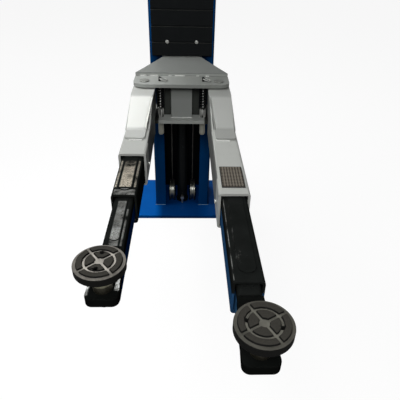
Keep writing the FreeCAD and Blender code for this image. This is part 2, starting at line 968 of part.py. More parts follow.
def lock_rod(side, sign):
    x = sign * lock_x
    y = -lock_y
    foot_straight = lock_foot_low + size.lock_foot_radius
    tip = named("Part::Sphere", f"lock_{side}_tip")
    bind(tip, "Radius", size.lock_foot_radius)
    place(tip, x, y, foot_straight)
    eye_z = size.yoke_top + size.eye_rise
    bar_top = eye_z + size.lock_rod_radius
    eye = rod(f"lock_{side}_eye", size.eye_radius, (x, y - size.lock_rod_radius * 2, eye_z),
              size.lock_rod_radius * 4, "Y")
    bar = rod(f"lock_{side}_bar", size.lock_rod_radius, (x, y, gear_low), bar_top - gear_low)
    return fuse(
        f"lock_{side}",
        cut(f"lock_{side}_bar_with_eye", bar, eye),
        toothed_ring(f"lock_{side}_gear", (x, y), gear_low, size.lock_gear_height,
                     size.lock_gear_radius, size.lock_tooth, LOCK_TEETH, None),
        rod(f"lock_{side}_foot", size.lock_foot_radius, (x, y, foot_straight),
            gear_low - foot_straight),
        tip,
    )


def coil_point(radius, turn, height, corner):
    """One corner of the wire's section, at a turn about Z and a height of its middle."""
    around = 2 * math.pi * corner / WIRE_SIDES
    reach = radius + size.spring_wire.value * math.cos(around)
    return FreeCAD.Vector(
        reach * math.cos(turn), reach * math.sin(turn),
        height + size.spring_wire.value * math.sin(around),
    )


def lock_spring(side, sign):
    """A wound spring between the toothed block and the top plate, its wire drawn six-sided."""
    low = gear_top.value + size.spring_play.value + size.spring_wire.value
    high = yoke_bottom_of_top.value - size.spring_play.value - size.spring_wire.value
    radius = size.spring_radius.value - size.spring_wire.value
    count = int(SPRING_TURNS * TURN_STEPS)
    rings = []
    for step in range(count + 1):
        turn = 2 * math.pi * step / TURN_STEPS
        height = low + (high - low) * step / count
        rings.append([coil_point(radius, turn, height, corner) for corner in range(WIRE_SIDES)])
    corners = []
    for near, far in zip(rings, rings[1:]):
        for a, b in zip(range(WIRE_SIDES), list(range(1, WIRE_SIDES)) + [0]):
            corners.append((near[a], near[b], far[b]))
            corners.append((near[a], far[b], far[a]))
    faces = [Part.Face(Part.makePolygon([a, b, c, a])) for a, b, c in corners]
    for ring in (rings[0], rings[-1]):
        faces.append(Part.Face(Part.makePolygon(ring + ring[:1])))
    wound = Part.makeSolid(Part.makeShell(faces))
    if wound.Volume < 0:
        wound.reverse()
    spring = named("Part::Feature", f"spring_{side}")
    spring.Shape = wound
    spring.Placement.Base = FreeCAD.Vector(sign * lock_x.value, -lock_y.value, 0)
    return spring


def pull_ring(side, sign):
    """A wire ring through the rod's eye, leaning until its far side lies on the top plate."""
    section = named("Part::RegularPolygon", f"ring_{side}_section")
    section.Polygon = WIRE_SIDES
    bind(section, "Circumradius", size.ring_wire)
    place(section, size.ring_radius, 0, 0, "Y")
    ring = named("Part::Revolution", f"ring_{side}")
    ring.Source = section
    ring.Axis = FreeCAD.Vector(0, 0, 1)
    ring.Angle = 360
    ring.Solid = True
    fall = size.eye_rise - size.ring_wire - size.ring_play
    lean = math.asin(fall.value / (size.ring_radius.value * 2))
    reach = size.ring_radius.value - size.ring_play.value
    eye = FreeCAD.Vector(
        sign * lock_x.value, -lock_y.value, size.yoke_top.value + size.eye_rise.value)
    middle = eye + FreeCAD.Vector(math.cos(lean), 0, -math.sin(lean)) * reach
    turn = FreeCAD.Rotation(FreeCAD.Vector(0, 1, 0), math.degrees(lean))
    ring.Placement = FreeCAD.Placement(middle, turn)
    return ring


for side, sign in (("left", -1), ("right", 1)):
    keep(lock_rod(side, sign), f"lock_rod_{side}")
    keep(lock_spring(side, sign), f"lock_spring_{side}")
    keep(pull_ring(side, sign), f"pull_ring_{side}")

# Swing arms. The root is a hollow welded box that turns on the pin and steps down to the tube.

root_low = yoke_low_top + size.gear_height + size.arm_play
root_top = yoke_bottom_of_top - size.arm_play
arm_top = root_low + size.tube_step
arm_low = arm_top - size.arm_height
cover_low = root_top - size.cover_thick
bend_two = size.bend_one + size.slope_length
cover_end = bend_two + size.cover_flat


def stadium(name, centre, low, high, half, end):
    """A bar with a round end about the pin, straight sides and a square front."""
    y = -pin_y
    return fuse(
        name,
        rod(name + "_round", half, (centre, y, low), as_length(high) - low),
        block(name + "_straight", (centre - half, centre + half), (-end, y), (low, high)),
    )


def arm_root(side, centre):
    profile = plate(
        f"root_{side}_profile", "YZ_Plane", centre - half_arm, size.arm_width,
        [(-pin_y + half_arm, root_low), (-size.tube_start, root_low),
         (-size.tube_start, arm_top), (-bend_two, arm_top),
         (-size.bend_one, cover_low), (-pin_y + half_arm, cover_low)],
    )
    outside = stadium(f"root_{side}_outside", centre, root_low, cover_low, half_arm,
                      bend_two)
    hollow = stadium(f"root_{side}_hollow", centre, root_low + size.arm_wall,
                     cover_low + size.arm_wall, half_arm - size.arm_wall, bend_two)
    hub_low = yoke_low_top + size.hub_gap
    walls = cut(f"root_{side}_walls", common(f"root_{side}_solid", profile, outside), hollow)
    return cut(
        f"root_{side}",
        fuse(
            f"root_{side}_welded",
            walls,
            rod(f"hub_{side}", size.hub_radius, (centre, -pin_y, hub_low),
                cover_low - hub_low),
            block(f"heel_{side}", (centre - half_arm, centre + half_arm),
                  (-size.tube_start, size.arm_wall - size.tube_start),
                  (arm_low, root_low)),
        ),
        rod(f"hub_{side}_bore", size.pin_radius + size.pin_clear,
            (centre, -pin_y, hub_low - size.arm_wall),
            cover_low - hub_low + size.arm_wall * 2),
    )


def arm_cover(side, sign, centre):
    """A bent doubler plate over the root, tapering on its inner edge."""
    profile = plate(
        f"cover_{side}_profile", "YZ_Plane", centre - half_arm, size.arm_width,
        [(-pin_y + half_arm, cover_low), (-size.bend_one, cover_low),
         (-bend_two, arm_top), (-cover_end, arm_top),
         (-cover_end, arm_top + size.cover_thick),
         (-bend_two, arm_top + size.cover_thick),
         (-size.bend_one, root_top), (-pin_y + half_arm, root_top)],
    )
    outer = centre + sign * half_arm
    inner = centre - sign * half_arm
    inner_end = outer - sign * size.cover_width_end
    plan_height = root_top - arm_top
    plan = plate(
        f"cover_{side}_plan", "XY_Plane", arm_top, plan_height,
        [(outer, -pin_y), (inner, -pin_y), (inner, -size.bend_one),
         (inner_end, -bend_two), (inner_end, -cover_end), (outer, -cover_end)],
    )

    def end_corner(start, end):
        return upright(start, end) and abs(start.y + cover_end.value) < 0.01

    round_edges(plan, size.cover_corner, end_corner)
    heel = rod(f"cover_{side}_heel", half_arm, (centre, -pin_y, arm_top), plan_height)
    shaped = common(f"cover_{side}_shaped", profile, fuse(f"cover_{side}_outline", plan, heel))
    return cut(
        f"cover_{side}", shaped,
        rod(f"cover_{side}_bore", size.pin_radius + size.pin_clear,
            (centre, -pin_y, arm_top), plan_height * 2),
    )


def along_arm(start, end):
    return abs(start.x - end.x) < 0.01 and abs(start.z - end.z) < 0.01


def tube(name, centre, start, end, low, width, height, wall):
    """A rectangular tube along the arm with rolled corners, open at both ends."""
    body = named("PartDesign::Body", name)
    half = width / 2
    top = low + height
    sketch = sketch_on(body, "XZ_Plane", start)
    draw_outline(sketch, [(centre - half, low), (centre + half, low),
                          (centre + half, top), (centre - half, top)])
    draw_outline(sketch, [(centre - half + wall, low + wall), (centre + half - wall, low + wall),
                          (centre + half - wall, top - wall), (centre - half + wall, top - wall)])
    pad(body, sketch, end - start)
    doc.recompute()

    def outer_edge(first, last):
        return along_arm(first, last) and abs(abs(first.x - centre.value) - half.value) < 0.01

    def inner_edge(first, last):
        inside_half = half.value - wall.value
        return along_arm(first, last) and abs(abs(first.x - centre.value) - inside_half) < 0.01

    round_edges(body, size.tube_corner, outer_edge)
    round_edges(body, size.tube_corner - wall, inner_edge)
    return body


mid_low = arm_low + size.arm_wall + size.slide_gap
inner_low = mid_low + size.mid_wall + size.slide_gap
inner_top = inner_low + size.inner_height
holder_low = inner_low + size.holder_rise
holder_top = holder_low + size.holder_thick
pad_top = holder_top + size.pad_rise
screw_low = holder_low - size.stem_below


def rib(name, centre, start, end, low, width, thick):
    """A flat wear strip with a round outer end."""
    half = width / 2
    return fuse(
        name,
        block(name + "_strip", (centre - half, centre + half), (half - end, -start),
              (low, low + thick)),
        rod(name + "_end", half, (centre, half - end, low), thick),
    )


def mid_stage(side, centre, start, end):
    top = mid_low + size.mid_height
    return fuse(
        f"mid_{side}",
        tube(f"mid_{side}_tube", centre, start, end, mid_low, size.mid_width,
             size.mid_height, size.mid_wall),
        rib(f"mid_{side}_rib", centre, start, end - size.mid_rib_back, top,
            size.mid_rib_width, size.mid_rib_thick),
    )


def inner_stage(side, centre, start, reach):
    """The last tube: its upper half stops at the pad holder, its lower half goes on below."""
    notch_start = reach - size.holder_behind
    tube_end = reach - size.tongue_behind
    half = size.inner_width / 2
    whole = tube(f"inner_{side}_tube", centre, start, tube_end, inner_low,
                 size.inner_width, size.inner_height, size.inner_wall)
    notch = block(f"inner_{side}_notch", (centre - half * 2, centre + half * 2),
                  (-tube_end - half, -notch_start), (holder_low, inner_top + half))
    return fuse(
        f"inner_{side}",
        cut(f"inner_{side}_notched", whole, notch),
        rib(f"inner_{side}_rib", centre, start, notch_start - size.inner_rib_back, inner_top,
            size.inner_rib_width, size.inner_rib_thick),
    )


def pad_holder(side, centre, reach):
    half = size.holder_width / 2
    front = -reach - size.holder_ahead
    body = plate(
        f"holder_{side}_body", "XY_Plane", holder_low, holder_top - holder_low,
        [(centre - half, front), (centre + half, front),
         (centre + half, size.holder_behind - reach), (centre - half, size.holder_behind - reach)],
        [(centre, -reach, size.screw_radius + size.screw_clear)],
    )

    def front_corner(start, end):
        return upright(start, end) and abs(start.y - front.value) < 0.01

    round_edges(body, size.holder_corner, front_corner)
    return body


flange_top = pad_top - size.pad_thick - size.pad_gap


def pad_screw(side, centre, reach):
    """Threaded stem, its collar on the holder and the flange under the pad."""
    collar_low = holder_top + size.screw_clear
    flange_low = flange_top - size.flange_thick
    return fuse(
        f"screw_{side}",
        rod(f"screw_{side}_stem", size.screw_radius, (centre, -reach, screw_low),
            collar_low - screw_low),
        rod(f"screw_{side}_collar", size.collar_radius, (centre, -reach, collar_low),
            flange_low - collar_low),
        rod(f"screw_{side}_flange", size.flange_radius, (centre, -reach, flange_low),
            size.flange_thick),
    )


def rubber_pad(side, centre, reach, screw_place, turn):
    """A round pad whose raised segments stand between a ring channel and cross channels."""
    low = pad_top - size.pad_thick
    groove_low = pad_top - size.pad_channel_depth
    far = size.pad_radius * 2
    channel = size.pad_channel / 2

    def ring_cut(name, outer, inner):
        return cut(
            name,
            rod(name + "_outer", outer, (0, 0, groove_low), size.pad_channel_depth * 2),
            rod(name + "_inner", inner, (0, 0, groove_low), size.pad_channel_depth * 2),
        )

    cross_a = block(f"pad_{side}_cross_a", (-far, far), (-channel, channel),
                    (groove_low, groove_low + size.pad_channel_depth * 2))
    cross_b = block(f"pad_{side}_cross_b", (-channel, channel), (-far, far),
                    (groove_low, groove_low + size.pad_channel_depth * 2))
    diagonal = screw_place * math.sqrt(0.5)
    screw_holes = [
        rod(f"pad_{side}_screw_{index}", size.pad_screw_radius,
            (diagonal * hand, diagonal * hand, low + size.pad_channel_depth), size.pad_thick)
        for index, hand in enumerate((-1, 1))
    ]
    shaped = cut(
        f"pad_{side}_shaped",
        rod(f"pad_{side}_disc", size.pad_radius, (0, 0, low), size.pad_thick),
        cross_a,
        cross_b,
        ring_cut(f"pad_{side}_ring", size.pad_ring_outer, size.pad_ring_inner),
        ring_cut(f"pad_{side}_rim", far, size.pad_radius - size.pad_ledge),
        rod(f"pad_{side}_centre", size.pad_centre, (0, 0, groove_low),
            size.pad_channel_depth * 2),
        *screw_holes,
    )
    place(shaped, centre, -reach, 0)
    shaped.Placement.Rotation = FreeCAD.Rotation(FreeCAD.Vector(0, 0, 1), turn)
    return shaped


for side, sign in (("left", -1), ("right", 1)):
    centre = sign * pin_x
    outer_end = size.tube_start + getattr(size, f"{side}_outer_length")
    mid_start = outer_end - getattr(size, f"{side}_mid_inside")
    mid_end = mid_start + getattr(size, f"{side}_mid_length")
    inner_start = mid_end - getattr(size, f"{side}_inner_inside")
    reach = mid_end + getattr(size, f"{side}_pad_ahead")
    if side == "right":
        longer_end = outer_end
    keep(arm_root(side, centre), f"arm_root_{side}")
    keep(arm_cover(side, sign, centre), f"arm_cover_{side}")
    keep(
        toothed_ring(f"arm_gear_{side}_body", (centre, -pin_y),
                     root_low - size.gear_height, size.gear_height, gear_radius,
                     size.gear_tooth, ARM_TEETH, size.hub_radius),
        f"arm_gear_{side}",
    )
    keep(
        tube(f"outer_{side}", centre, size.tube_start, outer_end, arm_low,
             size.arm_width, size.arm_height, size.arm_wall),
        f"arm_tube_{side}",
    )
    keep(mid_stage(side, centre, mid_start, mid_end), f"mid_tube_{side}")
    keep(inner_stage(side, centre, inner_start, reach), f"inner_tube_{side}")
    keep(pad_holder(side, centre, reach), f"pad_holder_{side}")
    keep(pad_screw(side, centre, reach), f"pad_screw_{side}")
    screw_place = getattr(size, f"{side}_pad_screw")
    keep(rubber_pad(side, centre, reach, screw_place, PAD_TURN[side]), f"rubber_pad_{side}")

# Grip patch glued on the longer arm, near the end of its outer tube.

patch_end = longer_end - size.patch_from_end
half_patch = size.patch_width / 2
keep(
    block("patch", (pin_x - half_patch, pin_x + half_patch),
          (-patch_end, size.patch_length - patch_end),
          (arm_top, arm_top + size.patch_thick)),
    "grip_patch",
)

doc.recompute()
faults = []
for thing in doc.Objects:
    if "Invalid" in thing.State or "Error" in thing.State:
        faults.append(f"{thing.Name}: {thing.State}")
for thing in nodes:
    if thing.Shape.isNull() or not thing.Shape.isValid():
        faults.append(f"{thing.Label}: shape")
if faults:
    raise RuntimeError("; ".join(faults))

os.makedirs("parts", exist_ok=True)
for thing in nodes:
    thing.Shape.exportStep(f"parts/{thing.Label}.step")
    box = thing.Shape.BoundBox
    print(
        f"{thing.Label}: {len(thing.Shape.Solids)} solids, {thing.Shape.Volume / 1e6:.3f} l, "
        f"x {box.XMin:.1f}..{box.XMax:.1f} y {box.YMin:.1f}..{box.YMax:.1f} "
        f"z {box.ZMin:.1f}..{box.ZMax:.1f}"
    )
print(len(nodes), "sub-parts")
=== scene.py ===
import math

import bpy
from mathutils import Matrix, Vector


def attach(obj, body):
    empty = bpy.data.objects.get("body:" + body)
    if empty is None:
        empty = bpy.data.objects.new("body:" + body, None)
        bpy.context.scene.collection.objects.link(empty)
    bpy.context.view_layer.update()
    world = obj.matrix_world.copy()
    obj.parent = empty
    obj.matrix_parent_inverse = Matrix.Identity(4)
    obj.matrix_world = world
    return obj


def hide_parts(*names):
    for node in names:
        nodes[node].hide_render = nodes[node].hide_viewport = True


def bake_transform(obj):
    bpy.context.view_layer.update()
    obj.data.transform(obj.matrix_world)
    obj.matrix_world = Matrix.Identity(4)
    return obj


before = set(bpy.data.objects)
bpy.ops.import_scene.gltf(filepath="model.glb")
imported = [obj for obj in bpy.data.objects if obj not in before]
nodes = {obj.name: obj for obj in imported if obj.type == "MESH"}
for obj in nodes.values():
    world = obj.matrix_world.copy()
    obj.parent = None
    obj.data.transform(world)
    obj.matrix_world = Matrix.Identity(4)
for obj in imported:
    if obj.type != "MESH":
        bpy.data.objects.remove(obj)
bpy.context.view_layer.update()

# Places that several pieces share, in metres: how far each arm's and each lock's middle
# line stands out from the post's middle, and how far forward the locks and the pads are.
# The left side is the left one in the photograph.

X, Y, Z = 0, 1, 2
sides = (("left", -1), ("right", 1))
arm_out = 0.172
lock_out, lock_y = 0.101, -0.206
pad_y = {"left": -1.414, "right": -1.591}
quarter_turn = math.pi / 2

# Camera: it stands in front of the arms at eye height and looks down on the yoke.
# Its place and turn were worked out from the corners of the lift in the photograph.

to_the_left, downward, rolled = 2.363, 33.085, 1.476
camera_turn = (
    Matrix.Rotation(math.radians(-to_the_left), 3, "Z")
    @ Matrix.Rotation(math.radians(90 - downward), 3, "X")
    @ Matrix.Rotation(math.radians(rolled), 3, "Z")
)
bpy.ops.object.select_all(action="DESELECT")
bpy.ops.object.camera_add(location=(0.020998, -2.118738, 1.435583),
                          rotation=camera_turn.to_euler())
camera = bpy.context.object
camera.data.sensor_width = 36
camera.data.lens = 37.215
camera.data.clip_start = 0.05
camera.data.dof.use_dof = False
bpy.context.scene.camera = camera
bpy.context.scene.view_settings.view_transform = "Standard"


# Floor and light: a white floor and backdrop that light nothing themselves. One lamp hangs
# above on the left, a little behind the post, and wide soft light comes from the same side.


def linear(colour):
    """An sRGB hex colour as the linear numbers that a shader works with."""
    parts = [int(colour[i:i + 2], 16) / 255 for i in (1, 3, 5)]
    turned = [c / 12.92 if c <= 0.04045 else ((c + 0.055) / 1.055) ** 2.4 for c in parts]
    return (*turned, 1.0)


def fill(tree, shader_node, inputs):
    """Sets a shader node's inputs, each to a value or to another node's output."""
    for name, value in inputs.items():
        if isinstance(value, bpy.types.NodeSocket):
            tree.links.new(value, shader_node.inputs[name])
        else:
            shader_node.inputs[name].default_value = value


def node(tree, kind, inputs=None, **settings):
    """Adds one shader node."""
    made = tree.nodes.new(kind)
    for name, value in settings.items():
        setattr(made, name, value)
    fill(tree, made, inputs or {})
    return made


def maths(tree, operation, *values):
    """The result of one sum with numbers or other nodes' outputs."""
    return node(tree, "ShaderNodeMath", dict(enumerate(values)),
                operation=operation).outputs[0]


def mix(tree, share, first, second):
    """A colour between two, by a share. Each is an sRGB hex colour or a node's output."""
    ends = [linear(end) if isinstance(end, str) else end for end in (first, second)]
    return node(tree, "ShaderNodeMix", {0: share, 6: ends[0], 7: ends[1]},
                data_type="RGBA").outputs[2]


def new_material(name):
    """A material with its tree and its surface shader."""
    material = bpy.data.materials.new(name)
    material.use_nodes = True
    return material, material.node_tree, material.node_tree.nodes["Principled BSDF"]


def looked_at(tree):
    """How far a ray shows the white backdrop: a camera's or a passing one fully, and a
    mirrored one by a third, so that smooth paint does not turn pale."""
    path = node(tree, "ShaderNodeLightPath").outputs
    dimmed = maths(tree, "MULTIPLY", path["Is Glossy Ray"], 0.33)
    first = maths(tree, "MAXIMUM", path["Is Camera Ray"], dimmed)
    return maths(tree, "MAXIMUM", first, path["Is Transmission Ray"])


world = bpy.data.worlds.new("studio")
world.use_nodes = True
bpy.context.scene.world = world
sky = world.node_tree
sky.nodes.clear()
soft, white = (node(sky, "ShaderNodeBackground", {"Color": linear("#ffffff"),
                                                  "Strength": strength})
               for strength in (0.06, 1.0))
both = node(sky, "ShaderNodeMixShader", {0: looked_at(sky), 1: soft.outputs[0],
                                         2: white.outputs[0]})
node(sky, "ShaderNodeOutputWorld", {"Surface": both.outputs[0]})

bpy.ops.mesh.primitive_plane_add(size=40, location=(0, 0, -0.0004))
floor = bpy.context.object
floor.name = "floor"
floor_paint, tree, shader = new_material("studio_floor")
fill(tree, shader, {"Base Color": mix(tree, looked_at(tree), "#303030", "#f4f4f4"),
                    "Roughness": 0.9, "Specular IOR Level": 0.0})
# Where it is looked at, the floor glows and keeps only a trace of the lift's shadow.
glow = node(tree, "ShaderNodeEmission", {"Color": linear("#ffffff"), "Strength": 1.06})
share = maths(tree, "MULTIPLY", looked_at(tree), 0.85)
laid = node(tree, "ShaderNodeMixShader", {0: share, 1: shader.outputs[0],
                                          2: glow.outputs[0]})
fill(tree, tree.nodes["Material Output"], {"Surface": laid.outputs[0]})
floor.data.materials.append(floor_paint)


def lamp(name, place, aim, size, power):
    """A square soft lamp that looks at a point."""
    turn = (Vector(aim) - Vector(place)).to_track_quat("-Z", "Y").to_euler()
    bpy.ops.object.light_add(type="AREA", location=place, rotation=turn)
    made = bpy.context.object
    made.name = name
    made.data.size = size
    made.data.energy = power


lamp("key", (-0.95, -0.1, 1.65), (-0.1, -0.5, 0.6), 0.5, 9)
lamp("window", (-1.33, 2.39, 4.92), (-0.17, -0.45, 0.78), 1.6, 60)
lamp("front", (-0.1, -3.3, 2.9), (0.0, -0.3, 0.6), 1.2, 62)
bpy.ops.object.light_add(type="SUN", rotation=(math.radians(-12), math.radians(-32), 0))
sun = bpy.context.object
sun.name = "window_light"
sun.data.energy = 0.5
sun.data.angle = math.radians(35)

# Base plate: 20 mm steel plate in gloss blue enamel, brighter than the post's.
# It lies on the floor, and the post's foot is welded to it all round.


def object_point(tree):
    """The point of the piece that is being shaded."""
    return node(tree, "ShaderNodeTexCoord").outputs["Object"]


def axes(tree, vector):
    """A vector's three numbers."""
    return node(tree, "ShaderNodeSeparateXYZ", {0: vector}).outputs


def noise(tree, where, size, detail=2.0, roughness=0.5):
    """Cloudy noise whose blots are about as large as the given size."""
    return node(tree, "ShaderNodeTexNoise", {"Vector": where, "Scale": 1 / size,
                                             "Detail": detail,
                                             "Roughness": roughness}).outputs[0]


def ramp(tree, value, start, end, low=0.0, high=1.0):
    """A value that runs from low to high while another runs from start to end."""
    return node(tree, "ShaderNodeMapRange", {"Value": value, "From Min": start,
                                             "From Max": end, "To Min": low,
                                             "To Max": high}).outputs[0]


def bump(tree, shader, height, strength, depth, **settings):
    """Makes a surface look as uneven as a pattern says."""
    relief = node(tree, "ShaderNodeBump", {"Height": height, "Strength": strength,
                                           "Distance": depth}, **settings)
    fill(tree, shader, {"Normal": relief.outputs[0]})


def smooth_box(tree, at, spans, soft=0.0015):
    """One inside a box given by axis and span, with edges as soft as given, else nought."""
    product = None
    for axis, low, high in spans:
        for edge, inward in ((low, soft), (high, -soft)):
            side = ramp(tree, at[axis], edge, edge + inward)
            product = side if product is None else maths(tree, "MULTIPLY", product, side)
    return product


def enamel(name, colour, shade, roughness, chip="#5a5c5b", chips=0.0, patch=0.09,
           shine=0.25, areas=()):
    """Sprayed enamel: smooth and thick, a little uneven in shade, with fine orange peel
    drawn at 3 mm so that it shows, and small chips where it is knocked. An area is a
    box with soft edges in which the paint has another colour."""
    material, tree, shader = new_material(name)
    where = object_point(tree)
    at = axes(tree, where)
    cloud = noise(tree, where, patch, 5.0, 0.6)
    spots = ramp(tree, noise(tree, where, 0.012, 3.0), 0.70, 0.73, 0.0, chips)
    tint = mix(tree, spots, mix(tree, cloud, colour, shade), chip)
    for spans, soft, other in areas:
        tint = mix(tree, smooth_box(tree, at, spans, soft), tint, other)
    gloss = ramp(tree, cloud, 0.0, 1.0, roughness - 0.06, roughness + 0.1)
    fill(tree, shader, {"Base Color": tint, "Roughness": gloss, "Specular IOR Level": shine})
    bump(tree, shader, noise(tree, where, 0.003), 0.05, 0.0006)
    return material


def round_edges(piece, width, segments=2, held_back=True):
    """Rounds a piece's sharp edges, as a file or a coat of paint does."""
    weld = piece.modifiers.new("weld", "WELD")
    weld.merge_threshold = 0.00001
    flat = piece.modifiers.new("flat", "DECIMATE")
    flat.decimate_type = "DISSOLVE"
    flat.angle_limit = math.radians(0.5)
    edge = piece.modifiers.new("edge", "BEVEL")
    edge.width = width
    edge.segments = segments
    edge.limit_method = "ANGLE"
    edge.angle_limit = math.radians(35)
    edge.use_clamp_overlap = held_back
    shade = piece.modifiers.new("shade", "WEIGHTED_NORMAL")
    shade.keep_sharp = False


def paint_node(name, material, edge_width=None):
    """Gives a CAD node its finish, and rounds its edges where a width is given."""
    slots = nodes[name].material_slots
    for place in slots:
        place.material = material
    if not slots:
        nodes[name].data.materials.append(material)
    if edge_width:
        round_edges(nodes[name], edge_width)


# The base plate is painted darker from the post's left edge rightward, a little less so
# farther right, as painted shadow of the post and the arms.
painted_shadow_areas = [(((X, -0.165, 0.60), (Y, -0.40, 0.60)), 0.05, "#003672"),
        (((X, 0.09, 0.70), (Y, -0.50, 0.70)), 0.08, "#004a94")]
base_enamel = enamel("base_enamel", "#0066c0", "#0058b0", 0.32, "#2c3a4a", 0.5, shine=0.04,
                     areas=painted_shadow_areas)
paint_node("base_plate", base_enamel, 0.0015)

# Post: 6 mm sheet steel folded into a channel, in deep blue enamel outside and dark with
# grease inside, where the slide blocks run, painted near black there as painted shade. The
# cap and two gussets are welded on.

post_enamel = enamel("post_enamel", "#013278", "#012a68", 0.30, "#1c2834", 0.4, shine=0.04)
channel_enamel, tree, shader = new_material("channel_enamel")
where = object_point(tree)
at = axes(tree, where)
cloud = noise(tree, where, 0.12, 5.0)
# A point counts as inside from the middle of each wall's thickness inward.
side_middle, lip_middle, back_middle = 0.157, 0.003, 0.237
between_sides = maths(tree, "LESS_THAN", maths(tree, "ABSOLUTE", at[X]), side_middle)
behind_lips = maths(tree, "GREATER_THAN", at[Y], lip_middle)
before_back = maths(tree, "LESS_THAN", at[Y], back_middle)
within = maths(tree, "MULTIPLY", between_sides,
               maths(tree, "MULTIPLY", behind_lips, before_back))
# Painted shade darkens the lips' inner halves at the height where the carriage
# mostly stands.
film = smooth_box(tree, at, ((X, -0.160, 0.160), (Y, -0.20, 0.05), (Z, 0.63, 1.05)), 0.04)
lips_with_painted_shade = mix(tree, film, mix(tree, cloud, "#02457f", "#023b6e"), "#01162f")
# Inside, the channel is painted near black: grease, and painted shade.
grease_and_painted_shade = mix(tree, cloud, "#030509", "#070a0f")
fill(tree, shader, {"Base Color": mix(tree, within, lips_with_painted_shade, grease_and_painted_shade),
                    "Roughness": ramp(tree, cloud, 0.0, 1.0, 0.26, 0.42),
                    "Specular IOR Level": 0.04})
paint_node("column_channel", channel_enamel)
for name in ("column_cap", "column_gussets"):
    paint_node(name, post_enamel, 0.001)


def repeat(piece, count, step):
    """Turns the active piece into a row of copies, one step apart."""
    row = piece.modifiers.new("row", "ARRAY")
    row.count = count
    row.use_relative_offset = False
    row.use_constant_offset = True
    row.constant_offset_displace = step
    bpy.ops.object.modifier_apply(modifier="row")


def weld_bead(name, start, end, body, material, width=0.007, height=0.005):
    """A line of overlapping ripples, as a welder's torch leaves between two plates."""
    start, end = Vector(start), Vector(end)
    pitch = 0.0042
    count = max(2, round((end - start).length / pitch))
    bpy.ops.object.select_all(action="DESELECT")
    bpy.ops.mesh.primitive_uv_sphere_add(segments=10, ring_count=6, radius=0.5)
    bead = bpy.context.object
    bead.name = name
    bead.scale = (pitch * 2, width, height)
    bpy.ops.object.transform_apply(scale=True)
    repeat(bead, count, (pitch, 0, 0))
    bpy.ops.object.mode_set(mode="EDIT")
    bpy.ops.mesh.select_all(action="SELECT")
    bpy.ops.transform.vertex_random(offset=0.0006, seed=count)
    bpy.ops.object.mode_set(mode="OBJECT")
    bead.location = start
    bead.rotation_euler = (end - start).to_track_quat("X", "Z").to_euler()
    bpy.ops.object.transform_apply()
    bpy.ops.object.shade_smooth()
    bead.data.materials.append(material)
    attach(bead, body)


lip_bead_enamel = enamel("lip_bead_enamel", "#1c4370", "#7f9dbd", 0.3, "#e3ebf3", 1.0,
                         patch=0.014)
seam_z, lip_out, lip_half, side_out = 0.021, 0.13, 0.03, 0.16094
for side, sign in sides:
    lip = sign * lip_out
    weld_bead(f"lip_weld_{side}", (lip - lip_half, -0.001, seam_z),
              (lip + lip_half, -0.001, seam_z), "column", lip_bead_enamel)
    weld_bead(f"post_weld_{side}", (sign * side_out, 0.016, seam_z),
              (sign * side_out, 0.224, seam_z), "column", post_enamel)
weld_bead("post_weld_back", (-0.145, 0.241, seam_z), (0.145, 0.241, seam_z),
          "column", post_enamel)

# Hydraulic cylinder: drawn tube in black enamel, with a zinc plated hose union at its foot
# and a hard chromed piston rod. The rod carries a fork with the chain wheel.


def plated(name, colour, shade, roughness, grain=0.004, dirt="#3a3a36", soiled=0.35,
           metallic=1.0):
    """Plated or bare metal: bright, finely scratched, with dull film in patches."""
    material, tree, shader = new_material(name)
    where = object_point(tree)
    film = noise(tree, where, 0.02, 6.0, 0.65)
    fine = noise(tree, where, grain)
    dull = ramp(tree, film, 0.5, 0.75, 0.0, soiled)
    fill(tree, shader, {
        "Base Color": mix(tree, dull, mix(tree, fine, colour, shade), dirt),
        "Metallic": metallic,
        "Roughness": ramp(tree, film, 0.0, 1.0, roughness, roughness + 0.25)})
    bump(tree, shader, fine, 0.12, 0.0004)
    return material


black_enamel = enamel("black_enamel", "#101315", "#0a0c0d", 0.36, "#4a4c4c", 0.5, shine=0.08)
zinc = plated("zinc_plate", "#c9cac6", "#9fa19d", 0.26)
hard_chrome = plated("hard_chrome", "#dcdde0", "#c6c8cc", 0.08, 0.002, "#8a8c8e", 0.2)
chain_steel = plated("oiled_chain_steel", "#6b655c", "#3d3933", 0.3, 0.003, "#191714", 0.7)
paint_node("cylinder_barrel", black_enamel)
paint_node("oil_union", zinc)
paint_node("piston_rod", hard_chrome)
paint_node("chain_wheel", chain_steel)

# Lift chain: leaf chain, wide and close rows of plates in turn on cross pins. It runs up
# from the carriage, over the ram's wheel and down to its anchor at the post's foot.

wide_row = (-0.0078, -0.0026, 0.0026, 0.0078)
close_row = (-0.0052, 0.0, 0.0052)
plate_radius, plate_thickness = 0.0048, 0.0022
pin_radius, pin_length = 0.0023, 0.0178
two_links = 0.0385


def link_row(places, length):
    """Rounded side plates and a cross pin, as one row of the chain, standing along Z."""
    parts = []
    for x in places:
        bpy.ops.object.select_all(action="DESELECT")
        bpy.ops.mesh.primitive_cylinder_add(vertices=16, radius=plate_radius,
                                            depth=plate_thickness, location=(x, 0, 0),
                                            rotation=(0, quarter_turn, 0))
        plate = bpy.context.object
        bpy.ops.object.transform_apply()
        for corner in plate.data.vertices:
            if corner.co.z > 0.0001:
                corner.co.z += length
        parts.append(plate)
    bpy.ops.object.select_all(action="DESELECT")
    bpy.ops.mesh.primitive_cylinder_add(vertices=12, radius=pin_radius, depth=pin_length,
                                        rotation=(0, quarter_turn, 0))
    pin = bpy.context.object
    bpy.ops.object.transform_apply()
    for plate in parts:
        plate.select_set(True)
    bpy.ops.object.join()
    return pin


def pick(piece):
    """Selects one piece alone and makes it the active one."""
    bpy.ops.object.select_all(action="DESELECT")
    piece.select_set(True)
    bpy.context.view_layer.objects.active = piece


def join_rows(name, rows):
    """Rows of links as one piece in chain steel."""
    pick(rows[0])
    for row in rows:
        row.select_set(True)
    bpy.ops.object.join()
    rows[0].name = name
    bpy.ops.object.shade_smooth_by_angle(angle=math.radians(40))
    rows[0].data.materials.append(chain_steel)
    return rows[0]


